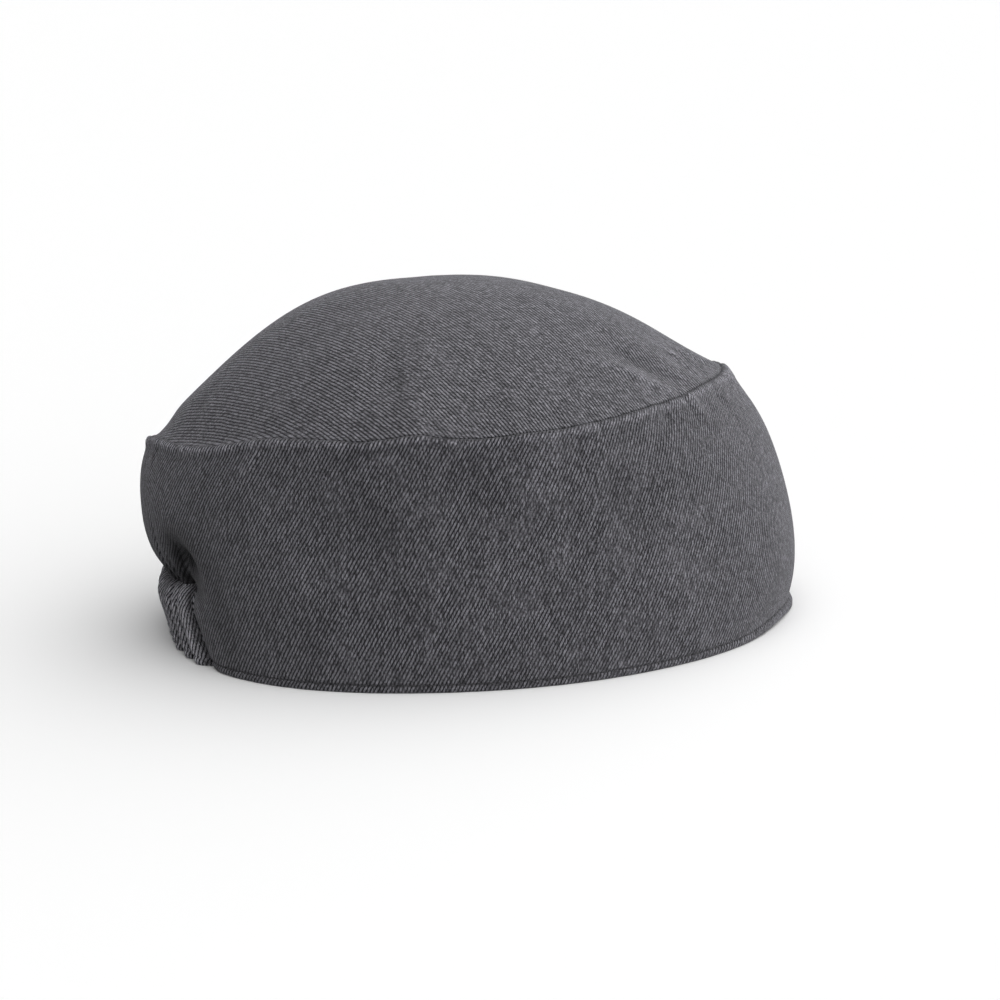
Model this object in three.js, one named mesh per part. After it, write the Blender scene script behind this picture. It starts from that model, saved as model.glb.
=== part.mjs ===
// A cook's skull cap in twill, standing on its rim: a domed oval top panel, a tall side band, and a
// short casing at the centre back whose hidden elastic gathers the cloth.
// Millimetres, +Z up. The front is towards -Y, and the rim lies on the plane z = 0.
import * as THREE from "three";
import { mergeVertices } from "three/addons/utils/BufferGeometryUtils.js";

// Half sizes of the outline at the rim and at the crown seam, from the middle of the opening.
const RIM_FRONT = 100;
const RIM_BACK = 92.5;
const RIM_SIDE = 82;
const SEAM_FRONT = 80.5;
const SEAM_BACK = 95;
const SEAM_SIDE = 69;

// How much fuller than an ellipse each outline is at its four corners, as a share of its size.
const RIM_FULLNESS_FRONT = 0;
const RIM_FULLNESS_BACK = 0.045;
const SEAM_FULLNESS_FRONT = -0.025;
const SEAM_FULLNESS_BACK = -0.03;

// Height of the crown seam above the rim, and how soon it rises from the back towards the sides.
const BAND_HEIGHT_FRONT = 77;
const BAND_HEIGHT_SIDE = 75;
const BAND_HEIGHT_BACK = 62;
const BACK_DIP_SHARPNESS = 3;

// The dome: its top above the rim, and how far behind the middle of the opening the top lies.
const CROWN_HEIGHT = 107;
const CROWN_TOP_BACK = 5;

// How far the band stands out behind the straight line from the rim to the seam.
const BACK_PUFF = 7;

// The hem's edge turns out a little at the front.
const HEM_LIP = 2.2;
const HEM_HEIGHT = 5;

// Thickness of the cloth, and of the casing with the elastic in it, and the gap along each seam.
const CLOTH = 1.8;
const CASING_CLOTH = 2.4;
const SEWN_GAP = 0.3;

// The casing: its height, its half angle about the centre back, what it widens by at the rim, and
// the angle past its end over which the band follows that widening.
const CASING_HEIGHT = 22;
const CASING_HALF_ANGLE = 24;
const CASING_FLARE = 6;
const FLARE_FADE = 38;

// The pinch along the casing's upper edge, where the band puffs over it.
const PINCH_DEPTH = 4;
const PINCH_RISE = 17;
const PINCH_DROP = 10;
const PINCH_FADE = 15;

// The gathers: the depth of a full fold, the half width of the valley between two, how much wider
// the valley past each end is on its open side, and how far the folds run up into the band.
const GATHER_DEPTH = 2.8;
const GATHER_HALF_WIDTH = 1.8;
const END_VALLEY_SPREAD = 3;
const GATHER_REACH = 26;

// Rows of control heights from the rim to the crown seam, each column a Bezier curve.
// front and side: share of the way from the rim's outline to the seam's. back: share of BACK_PUFF.
const WALL_ROWS = [
  { front: 0, side: 0, back: 0 },
  { front: -0.22, side: 0.08, back: 0.2 },
  { front: -0.26, side: 0.2, back: 0.6 },
  { front: 0.12, side: 0.45, back: 0.87 },
  { front: 0.08, side: 0.75, back: 1.15 },
  { front: 1, side: 1, back: 0 },
];

// Rows of control points from the top of the dome to the seam: share of the fall to the seam.
const DOME_ROWS = [
  { front: 0, side: 0, back: 0 },
  { front: 0, side: 0, back: 0 },
  { front: 0.15, side: 0.11, back: -0.05 },
  { front: 0.2, side: 0.3, back: 0.27 },
  { front: 0.75, side: 0.58, back: 0.64 },
  { front: 1, side: 1, back: 1 },
];

// The valleys between the gathers, from one end of the casing to the other.
// at: share of the casing's half angle. depth: share of GATHER_DEPTH. reach: share of GATHER_REACH.
const GATHER_ROWS = [
  { at: -1, depth: 1, reach: 0.7 },
  { at: -0.7, depth: 0.85, reach: 1.2 },
  { at: -0.43, depth: 1, reach: 0.8 },
  { at: -0.14, depth: 0.8, reach: 1.3 },
  { at: 0.15, depth: 1, reach: 0.9 },
  { at: 0.41, depth: 0.75, reach: 1.1 },
  { at: 0.7, depth: 0.95, reach: 1.3 },
  { at: 1, depth: 1, reach: 0.7 },
];

// How finely the cloth is faceted: columns round the cap, and levels as shares of each height.
const STEPS_PER_GATHER = 6;
const STEPS_BESIDE_CASING = 7;
const STEPS_ROUND_FRONT = 17;
const FLANK_ANGLE = 62;
const CASING_LEVELS = [0, 0.2, 0.5, 0.8, 1];
const BAND_LEVELS = [0, 0.07, 0.18, 0.36, 0.56, 0.78, 1];
const DOME_LEVELS = [0, 0.18, 0.36, 0.54, 0.7, 0.84, 1];

// The step for normals, and the distance within which points are one.
const SMALL_STEP = 1e-3;
const WELD = 1e-4;

const TWILL_COLOUR = 0x59585e;
const TWILL_ROUGHNESS = 0.92;

const radians = THREE.MathUtils.degToRad;
const mix = THREE.MathUtils.lerp;
const clamp = THREE.MathUtils.clamp;
const casingEnd = radians(CASING_HALF_ANGLE);
const halfGap = SEWN_GAP / 2;

// The half gap of the seam at each end of the casing, as an angle about the centre back.
const gapTurn = halfGap / RIM_BACK;

// A rounded valley: 1 at its bottom, a half at one half width.
const valley = (share) => 1 / (1 + share * share);

// From 0 at the start to 1 at the end of a stretch, quick at first and gentle at last.
const eased = (share) => 1 - (1 - clamp(share, 0, 1)) ** 2;

// A column of a table as a Bezier curve, at a share from 0 to 1.
function curve(rows, column, share) {
  let values = rows.map((row) => row[column]);
  while (values.length > 1) {
    values = values.slice(1).map((value, i) => mix(values[i], value, share));
  }
  return values[0];
}

// A figure given for front, side and back, at an angle from the centre back.
// A higher sharpness keeps the back's figure closer to the centre back.
function around(angle, front, side, back, sharpness = 2) {
  const c = Math.cos(angle);
  return c > 0
    ? side + (back - side) * c ** sharpness
    : side + (front - side) * c ** 2;
}

function bandHeight(angle) {
  return around(
    angle,
    BAND_HEIGHT_FRONT,
    BAND_HEIGHT_SIDE,
    BAND_HEIGHT_BACK,
    BACK_DIP_SHARPNESS,
  );
}

// The smooth wall without its pinch and gathers, at a share of the band's height.
function smoothWall(angle, share) {
  const along = Math.cos(angle);
  const z = share * bandHeight(angle);
  const back =
    mix(RIM_BACK, SEAM_BACK, share) +
    BACK_PUFF * curve(WALL_ROWS, "back", share);
  const lip = around(angle, HEM_LIP, 0, 0) * (1 - eased(z / HEM_HEIGHT));
  const front =
    mix(RIM_FRONT, SEAM_FRONT, curve(WALL_ROWS, "front", share)) + lip;
  const side = mix(RIM_SIDE, SEAM_SIDE, curve(WALL_ROWS, "side", share));
  const fullness =
    along > 0
      ? mix(RIM_FULLNESS_BACK, SEAM_FULLNESS_BACK, share)
      : mix(RIM_FULLNESS_FRONT, SEAM_FULLNESS_FRONT, share);
  const full = 1 + fullness * Math.sin(2 * angle) ** 2;
  return new THREE.Vector3(
    full * side * Math.sin(angle),
    full * along * (along > 0 ? back : front),
    z,
  );
}

// 1 over the casing, falling to 0 within an angle past its ends.
function overCasing(angle, fade) {
  const past = Math.abs(angle) - casingEnd;
  return 1 - THREE.MathUtils.smoothstep(past, 0, fade);
}

// How far the pinch and the gathers draw the wall inwards. The angle is the one before the flare.
function drawnIn(angle, z) {
  const above = z - CASING_HEIGHT;
  const pinch =
    PINCH_DEPTH *
    overCasing(angle, radians(PINCH_FADE)) *
    (1 - eased(above > 0 ? above / PINCH_RISE : -above / PINCH_DROP));
  const halfWidth = GATHER_HALF_WIDTH / RIM_BACK;
  const folds = GATHER_ROWS.map((row) => {
    const past = Math.abs(angle) > casingEnd && Math.abs(row.at) === 1;
    const spread = past ? END_VALLEY_SPREAD : 1;
    const across = valley((angle - row.at * casingEnd) / (spread * halfWidth));
    const up = 1 - eased(above / (GATHER_REACH * row.reach));
    return GATHER_DEPTH * row.depth * across * up;
  });
  return pinch + Math.max(...folds);
}

// The casing is wider at the rim, so angles near it open out towards the rim.
function flared(angle, z) {
  const low = clamp(1 - z / CASING_HEIGHT, 0, 1);
  const beside = Math.sign(angle) * overCasing(angle, radians(FLARE_FADE));
  const share = Math.abs(angle) < casingEnd ? angle / casingEnd : beside;
  return angle + radians(CASING_FLARE) * low * share;
}

// The outer face of the wall, band and casing alike, at an angle from the centre back.
function wallPoint(angle, z) {
  const turned = flared(angle, z);
  const point = smoothWall(turned, z / bandHeight(turned));
  const share = 1 - drawnIn(angle, z) / Math.hypot(point.x, point.y);
  point.x *= share;
  point.y *= share;
  return point;
}

// The outer face of the dome, at a share of the way from its top to the seam.
function domePoint(angle, share) {
  const seam = wallPoint(angle, bandHeight(angle));
  const fall = around(
    angle,
    curve(DOME_ROWS, "front", share),
    curve(DOME_ROWS, "side", share),
    curve(DOME_ROWS, "back", share),
  );
  return new THREE.Vector3(
    seam.x * share,
    mix(CROWN_TOP_BACK, seam.y, share),
    mix(CROWN_HEIGHT, seam.z, fall),
  );
}

// The cross product of a face's two directions, from small steps of its two parameters.
function normalOf(face, first, second) {
  const step = SMALL_STEP;
  const across = face(first + step, second).sub(face(first - step, second));
  const along = face(first, second + step).sub(face(first, second - step));
  return across.cross(along).normalize();
}

const wallNormal = (angle, z) => normalOf(wallPoint, angle, z).negate();
const domeNormal = (angle, share) => normalOf(domePoint, angle, share);

// Where band and crown meet, both edges are mitred along the line that halves their corner.
function seamJoint(angle) {
  const nearSeam = 1 - SMALL_STEP;
  const band = wallNormal(angle, bandHeight(angle) * nearSeam);
  const dome = domeNormal(angle, nearSeam);
  const inward = band.clone().add(dome).divideScalar(-1 - band.dot(dome));
  const run = domePoint(angle + SMALL_STEP, 1).sub(
    domePoint(angle - SMALL_STEP, 1),
  );
  const towardsDome = inward.clone().cross(run).normalize();
  if (towardsDome.z < 0) towardsDome.negate();
  return { inward, towardsDome };
}

// A point moved along a direction, and a direction made level.
const moved = (point, direction, distance) =>
  point.clone().addScaledVector(direction, distance);
const level = (direction) => direction.clone().setZ(0).normalize();

// Sets the last points of an outer and an inner line on the mitre, at an offset along the dome.
function mitre(outer, inner, angle, offset) {
  const joint = seamJoint(angle);
  const last = outer.length - 1;
  const edge = moved(outer[last], joint.towardsDome, offset);
  outer[last] = edge;
  inner[last] = moved(edge, joint.inward, CLOTH);
}

// Welds equal points, and drops the triangles that the top of the dome has closed up.
function closedGeometry(positions) {
  const loose = new THREE.BufferGeometry();
  const attribute = new THREE.Float32BufferAttribute(positions, 3);
  loose.setAttribute("position", attribute);
  const welded = mergeVertices(loose, WELD);
  const index = welded.index.array;
  const solid = [];
  for (let i = 0; i < index.length; i += 3) {
    const [a, b, c] = index.slice(i, i + 3);
    if (a !== b && b !== c && c !== a) solid.push(a, b, c);
  }
  welded.setIndex(solid);
  welded.computeVertexNormals();
  return welded;
}

// A wall between an outer and an inner grid of points, made of the cells that keep() allows.
// Every edge that only one kept cell uses is closed by a face across the cloth.
function clothShell(outer, inner, round, keep = () => true) {
  const columns = outer.length;
  const rows = outer[0].length;
  const cells = round ? columns : columns - 1;
  const positions = [];
  const face = (a, b, c, d) => {
    for (const p of [a, b, c, a, c, d]) positions.push(p.x, p.y, p.z);
  };
  const kept = (i, j) => {
    if (j < 0 || j >= rows - 1) return false;
    if (!round && (i < 0 || i >= cells)) return false;
    return keep((i + cells) % cells, j);
  };
  for (let i = 0; i < cells; i += 1) {
    for (let j = 0; j < rows - 1; j += 1) {
      if (!kept(i, j)) continue;
      const next = (i + 1) % columns;
      const around4 = (grid) => [
        grid[i][j],
        grid[i][j + 1],
        grid[next][j + 1],
        grid[next][j],
      ];
      const out = around4(outer);
      const back = around4(inner);
      face(...out);
      face(...back.toReversed());
      const neighbours = [
        kept(i - 1, j),
        kept(i, j + 1),
        kept(i + 1, j),
        kept(i, j - 1),
      ];
      neighbours.forEach((there, side) => {
        const turn = (side + 1) % 4;
        if (!there) face(out[turn], out[side], back[side], back[turn]);
      });
    }
  }
  return closedGeometry(positions);
}

// Even steps from one value to another, without the last.
const steps = (from, to, count) =>
  Array.from({ length: count }, (_, i) => mix(from, to, i / count));

// Angles of the columns over the casing, a number of them to each gather.
function casingAngles(perGather) {
  const valleys = GATHER_ROWS.map((row) => row.at * casingEnd);
  const fine = valleys
    .slice(1)
    .flatMap((next, i) => steps(valleys[i], next, perGather));
  return [...fine, casingEnd];
}

// Angles of the columns from one end of the casing round the front to the other, without both.
// Past the centre front they count up from minus half a turn.
function openAngles() {
  const flank = radians(FLANK_ANGLE);
  const oneSide = [
    ...steps(casingEnd, flank, STEPS_BESIDE_CASING),
    ...steps(flank, Math.PI, STEPS_ROUND_FRONT),
  ].slice(1);
  const otherSide = oneSide.map((angle) => -angle).reverse();
  return [...oneSide, Math.PI, ...otherSide];
}

// The band: a ring of cloth without the place of the casing.
function bandGeometry() {
  const casing = casingAngles(STEPS_PER_GATHER);
  const lastGather = casing.length - 1;
  const lowRows = CASING_LEVELS.length - 1;
  const outer = [];
  const inner = [];
  [...casing, ...openAngles()].forEach((column, i) => {
    const beside = i === 0 || i === lastGather;
    const angle = column + (beside ? Math.sign(column) * gapTurn : 0);
    const foot = CASING_HEIGHT + halfGap;
    const top = bandHeight(angle);
    const heights = [
      ...CASING_LEVELS.map((share) => mix(0, foot, share)),
      ...BAND_LEVELS.slice(1).map((share) => mix(foot, top, share)),
    ];
    const out = heights.map((z) => wallPoint(angle, z));
    const back = heights.map((z, j) => {
      const normal = wallNormal(angle, z);
      const flat = j === 0 || (j === lowRows && i <= lastGather);
      return moved(out[j], flat ? level(normal) : normal, -CLOTH);
    });
    mitre(out, back, angle, -halfGap);
    outer.push(out);
    inner.push(back);
  });
  const aboveCasing = (i, j) => i >= lastGather || j >= lowRows;
  return clothShell(outer, inner, true, aboveCasing);
}

// The casing: a gathered strip that fills the place which the band leaves.
function casingGeometry() {
  const columns = casingAngles(STEPS_PER_GATHER);
  const outer = [];
  const inner = [];
  columns.forEach((column, i) => {
    const end = i === 0 || i === columns.length - 1;
    const angle = column - (end ? Math.sign(column) * gapTurn : 0);
    const heights = CASING_LEVELS.map((share) =>
      mix(0, CASING_HEIGHT - halfGap, share),
    );
    const out = heights.map((z) => wallPoint(angle, z));
    const back = heights.map((z, j) => {
      const normal = wallNormal(angle, z);
      const flat = j === 0 || j === heights.length - 1;
      return moved(out[j], flat ? level(normal) : normal, -CASING_CLOTH);
    });
    outer.push(out);
    inner.push(back);
  });
  return clothShell(outer, inner, false);
}

// The top panel: columns from the top of the dome down to the seam.
function crownGeometry() {
  const up = new THREE.Vector3(0, 0, 1);
  const outer = [];
  const inner = [];
  for (const angle of [...casingAngles(1), ...openAngles()]) {
    const out = DOME_LEVELS.map((share) => domePoint(angle, share));
    const back = DOME_LEVELS.map((share, j) => {
      const normal = share > 0 ? domeNormal(angle, share) : up;
      return moved(out[j], normal, -CLOTH);
    });
    mitre(out, back, angle, halfGap);
    outer.push(out.reverse());
    inner.push(back.reverse());
  }
  return clothShell(outer, inner, true);
}

function piece(name, geometry) {
  const twill = new THREE.MeshStandardMaterial({
    color: TWILL_COLOUR,
    roughness: TWILL_ROUGHNESS,
    metalness: 0,
  });
  const mesh = new THREE.Mesh(geometry, twill);
  mesh.name = name;
  return mesh;
}

const cap = new THREE.Group();
cap.add(
  piece("crown_top", crownGeometry()),
  piece("side_band", bandGeometry()),
  piece("elastic_casing", casingGeometry()),
);

// The origin is under the middle of the cap, on the plane that the rim stands on.
const extent = new THREE.Box3().setFromObject(cap);
cap.position.y = -(extent.min.y + extent.max.y) / 2;

export default cap;
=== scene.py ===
"""A cook's skull cap in charcoal twill: a tall side band, a domed oval top panel, and a short
casing at the centre back whose elastic gathers the cloth.

Metres, +Z up. The front is towards -Y, and the rim stands on the plane z = 0. Angles round the cap
run from the centre back towards +X. Heights are above the rim.
"""

import bpy
import numpy as np
from bpy.props import FloatProperty, FloatVectorProperty, PointerProperty
from mathutils import Matrix, Vector


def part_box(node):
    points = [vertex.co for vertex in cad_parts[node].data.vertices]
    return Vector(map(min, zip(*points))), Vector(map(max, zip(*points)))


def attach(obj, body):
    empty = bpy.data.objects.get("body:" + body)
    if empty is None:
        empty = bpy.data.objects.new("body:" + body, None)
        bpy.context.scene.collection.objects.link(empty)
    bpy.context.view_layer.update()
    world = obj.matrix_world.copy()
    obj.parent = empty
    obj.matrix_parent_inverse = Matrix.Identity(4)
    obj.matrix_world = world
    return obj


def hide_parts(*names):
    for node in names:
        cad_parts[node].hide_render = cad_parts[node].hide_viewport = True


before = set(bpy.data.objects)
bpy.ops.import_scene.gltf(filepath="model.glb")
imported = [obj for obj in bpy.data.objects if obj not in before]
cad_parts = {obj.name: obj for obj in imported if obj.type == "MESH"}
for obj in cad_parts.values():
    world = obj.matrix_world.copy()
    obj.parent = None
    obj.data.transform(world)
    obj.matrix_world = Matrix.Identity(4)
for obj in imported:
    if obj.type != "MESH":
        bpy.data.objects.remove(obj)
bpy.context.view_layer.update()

bl_info = {
    "name": "Chef Skull Cap",
    "version": (1, 0, 0),
    "blender": (4, 5, 0),
    "location": "View3D > Sidebar > Cap",
    "description": "Makes a cook's skull cap in gathered twill, with its stage",
    "category": "Object",
}

MM = 0.001

# The circle on which the folds' places round the band are taken.
BAND_RADIUS = 84 * MM

# How far from the crown seam the cloth turns into the corner's middle line.
CORNER_REACH = 3 * MM

# Width of the step where cloth that is turned in ends.
TURNING_EDGE = 0.7 * MM

# The share of its half thickness that cloth keeps at its very edge.
SLIVER = 0.1

# Half widths of the painted shade in the crown seam's groove and in the hem stitches' groove.
SEAM_LINE = 0.6 * MM
STITCH_LINE = 0.35 * MM

# How much painted shade a dent 1 mm deep gets, and the limits of the painted shade in dents and
# of the painted highlight on folds, as shares of the full painted shade.
DENT_SHADE = 0.4
DENT_DARKEST = 0.3
FOLD_LIGHTEST = 0.35

# How much of its colour the cloth loses under the full painted shade; below nothing it is painted
# lighter.
PAINTED_SHADE_LOSS = 0.78

# Columns of points over the casing, beside it as far as the flank, and from there to the front.
CASING_COLUMNS, BESIDE_COLUMNS, FRONT_COLUMNS = 170, 56, 130
FLANK = np.radians(62)

# Columns of points round the top panel, and the rows inside its last twentieth.
CROWN_COLUMNS = 420
CROWN_ROWS = 50
CROWN_EDGE_ROWS = (
    0.957, 0.963, 0.969, 0.974, 0.979, 0.983, 0.987, 0.99, 0.993, 0.9955, 0.9975, 0.999, 1,
)

# Distances of the band's rows in millimetres: above the rim where the hem's edge rolls and its
# stitches pull, above that where its turning ends, below the casing's top, above the casing's
# top, and below the crown seam.
HEM_ROWS = (0, 0.08, 0.25, 0.5, 0.9, 1.35, 1.7, 1.95, 2.2, 2.4, 2.6, 2.85, 3.1, 3.5, 4.2)
TURNING_ROWS = (5.2, 6.4, 7.6, 8.5, 9, 9.5)
TOP_ROLL_ROWS = (2.2, 1.5, 1, 0.6, 0.3, 0.1, 0)
ABOVE_CASING_ROWS = (0.1, 0.3, 0.6, 1, 1.5, 2.3)
SEAM_ROLL_ROWS = (5, 4.2, 3.4, 2.8, 2.3, 1.8, 1.4, 1, 0.7, 0.45, 0.25, 0.1, 0)

# The first rows of the band, which lie on the rim's roll.
RIM_ROLL_ROWS = 5

# The share of the way up a face at which its direction just before the crown seam is taken.
BEFORE_SEAM = 0.998

# The band's swell beside the crown seam: where it is highest, its half width, and its share of
# the full swell at the front, the side and the back.
SWELL_AT, SWELL_HALF = 1.3 * MM, 1.6 * MM
SWELL_AROUND = (0.5, 1, 1.2)

# The top panel's sinking beside the seam: its half width, and its share of the full sinking at
# the front, the side and the back. Behind, a second hollow lies further in.
SINK_HALF = 6 * MM
SINK_AROUND = (0, 0.3, 1)
HOLLOW_AT, HOLLOW_HALF = 7 * MM, 4.5 * MM
HOLLOW_AROUND = (0, 0, 0.8)

# The painted highlight on the band's rolled edge below the crown seam: where it lies, its half
# width, and its strength at the front, the side and the back.
HIGHLIGHT_AT, HIGHLIGHT_HALF = 1.6 * MM, 0.9 * MM
HIGHLIGHT_AROUND = (0.8, 0.8, 1.6)

# The casing's painted shade: how it grows with the valleys and the pleats, and how far all of it
# is lowered, which paints its ridges lighter as a painted highlight.
VALLEY_SHADE, PLEAT_SHADE, RIDGE_HIGHLIGHT = 1.9, 0.2, 0.45

# The small pleats: waves for each radian, the waves that make those uneven and by how much, and
# how far they wander as they go up, in radians.
PLEATS, UNEVEN_WAVES, UNEVENNESS, WANDER = 118, 23, 1.4, 0.9

# How far the band's grain is turned: place and half width in degrees from the back, and share.
GRAIN_TURNS = (
    (120, 34, -0.09),
    (38, 28, 0.06),
)

# Where the hem's stitches start, as a share of the casing's half angle.
STITCHES_FROM = 1.03

# Puckers along a seam: share of a full one, waves round the cap, start in radians.
PUCKER_WAVES = (
    (0.5, 53, 1),
    (0.3, 83, 2.1),
    (0.3, 122, 0.4),
    (0.4, 29, 4),
)

# The band's soft slack: waves round the cap, turn in radians for each metre up, start in radians.
SLACK_WAVES = (
    (7, 60, 1),
    (11, -85, 2),
)

# Control values from the rim up to the crown seam. The front's and the side's are shares of the way
# from the rim's outline to the seam's, and the back's are shares of the back's puff.
WALL_FRONT = (0, -0.36, -0.24, 0.13, 0.1, 1)
WALL_SIDE = (0, 0.08, 0.2, 0.45, 0.75, 1)
WALL_BACK = (0, 0.2, 0.6, 0.87, 1.15, 0)

# Control values from the top of the dome out to the seam: shares of the fall to the seam.
DOME_FRONT = (0, 0, 0.08, 0.16, 0.71, 1)
DOME_SIDE = (0, 0, 0.11, 0.3, 0.58, 1)
DOME_BACK = (0, 0, -0.08, 0.24, 0.56, 1)

# The valleys between the gathers: place as a share of the casing's half angle, share of the
# full depth, share of the full reach up the band.
GATHERS = (
    (-1, 1, 0.7),
    (-0.82, 0.8, 0.5),
    (-0.64, 0.95, 1.1),
    (-0.46, 0.7, 0.6),
    (-0.28, 1, 0.9),
    (-0.1, 0.7, 1.3),
    (0.09, 0.9, 0.6),
    (0.27, 0.75, 1),
    (0.45, 1, 0.7),
    (0.63, 0.75, 1.2),
    (0.81, 0.9, 0.6),
    (1, 1, 0.7),
)

# The share of their valleys that the casing keeps at its two ends.
CASING_END_VALLEY = 0.6

# Slow rises and dips of the sewn line: place and half width in degrees, rise in millimetres.
SEAM_WAVES = (
    (-12, 12, 2.6),
    (-50, 8, 1.1),
    (-70, 5, -0.9),
    (-81, 3.5, 0.9),
    (-93, 7, -0.9),
    (-110, 9, -0.4),
    (-136, 9, 0.6),
    (-156, 9, 1.1),
    (21, 18, -5),
    (47, 9, 0.9),
    (66, 6, -0.8),
    (84, 4, 0.8),
    (99, 8, -0.7),
    (131, 9, 0.5),
    (161, 16, -3.2),
)

# Folds and dents of the band: place in degrees, height, lean in degrees from upright, half length,
# half width and depth in millimetres. A positive depth stands out.
BAND_FOLDS = (
    (-73, 48, 35, 13, 7, -0.8),
    (-92, 58, 40, 11, 6, -0.6),
    (-120, 50, 25, 13, 7, -0.7),
    (-104, 62, -20, 12, 5, 0.5),
    (-60, 34, 30, 14, 7, 0.5),
    (-88, 26, 50, 16, 8, 0.4),
    (-27, 31, 60, 8, 5.5, -4.4),
    (26, 31, -60, 8, 5.5, -4),
    (0, 24, 90, 32, 3.5, -0.8),
    (180, 74, 90, 22, 3, 0.9),
    (-178, 71, 35, 6, 1.2, -0.8),
    (-171.5, 73, 52, 6, 1.2, 0.8),
    (-157, 73, 0, 4.5, 2, -0.7),
    (-147.5, 74, 0, 4.5, 2, 0.9),
    (-137, 73, -51, 5, 1.8, -0.9),
    (-117, 73, 20, 4.5, 1.8, 0.6),
    (-82, 72.5, -15, 4.5, 2, 0.6),
    (-69, 70, -20, 5, 2.2, -0.7),
    (-48, 66, -12, 6, 2.4, 0.6),
    (-38, 30, 12, 14, 5, -0.6),
    (36, 28, -14, 14, 5, -0.6),
    (44, 65, 15, 6, 2.4, 0.35),
    (71, 49, -30, 13, 7, -0.7),
    (95, 56, -40, 12, 6, -0.6),
    (124, 47, -25, 13, 7, -0.7),
    (108, 63, 20, 12, 5, 0.5),
    (86, 27, -50, 16, 8, 0.4),
    (141, 71, -15, 5, 1.6, 0.35),
    (157, 67, -10, 6, 1.6, -0.4),
    (180, 45, 0, 18, 9, -0.4),
)

# Painted shade in the hollows beside the casing: place in degrees, height, half width and half
# height in millimetres, share of the full painted shade.
SHADED = (
    (-27, 32, 11, 9, 1.1),
    (26, 32, 11, 9, 1.1),
    (-37, 16, 9, 13, 0.4),
    (36, 16, 9, 13, 0.4),
)

# Folds of the top panel: place across and along the cap in millimetres, direction in degrees from
# the +X axis, half length, half width and depth in millimetres.
CROWN_FOLDS = (
    (-38, -54, 89, 11, 2, 0.9),
    (-31, -55, 85, 12, 3.2, -0.7),
    (-19, -68, 44, 7, 1.2, 0.9),
    (-15.5, -70.5, 44, 7, 1.7, -0.7),
    (-9.6, -74.5, 97, 7, 1, 0.7),
    (-6, -74.5, 97, 7, 1.4, -0.6),
    (-49, 20, 0, 11, 3, -0.6),
    (-49, 28, 4, 11, 3.5, 0.35),
    (-50, -4, 8, 9, 3, 0.25),
    (34, -50, -80, 12, 2.4, 0.45),
    (47, 22, 2, 11, 3, -0.5),
    (20, 74, 62, 9, 2.4, 0.35),
    (-18, 76, -66, 8, 2.4, -0.35),
)


def length(name, default, description):
    """A size in metres that a user can change."""
    return FloatProperty(
        name=name,
        description=description,
        default=default,
        min=0.0,
        precision=5,
        subtype="DISTANCE",
        unit="LENGTH",
    )


def turn(name, degrees, description):
    """An angle that a user can change, given here in degrees."""
    return FloatProperty(
        name=name,
        description=description,
        default=float(np.radians(degrees)),
        precision=4,
        subtype="ANGLE",
        unit="ROTATION",
    )


def share(name, default, description):
    """A plain figure that a user can change."""
    return FloatProperty(name=name, description=description, default=default, precision=4)


def colour(name, default, description):
    """A linear colour that a user can change."""
    return FloatVectorProperty(
        name=name,
        description=description,
        default=default,
        size=3,
        min=0.0,
        max=1.0,
        precision=4,
        subtype="COLOR",
    )


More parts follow.
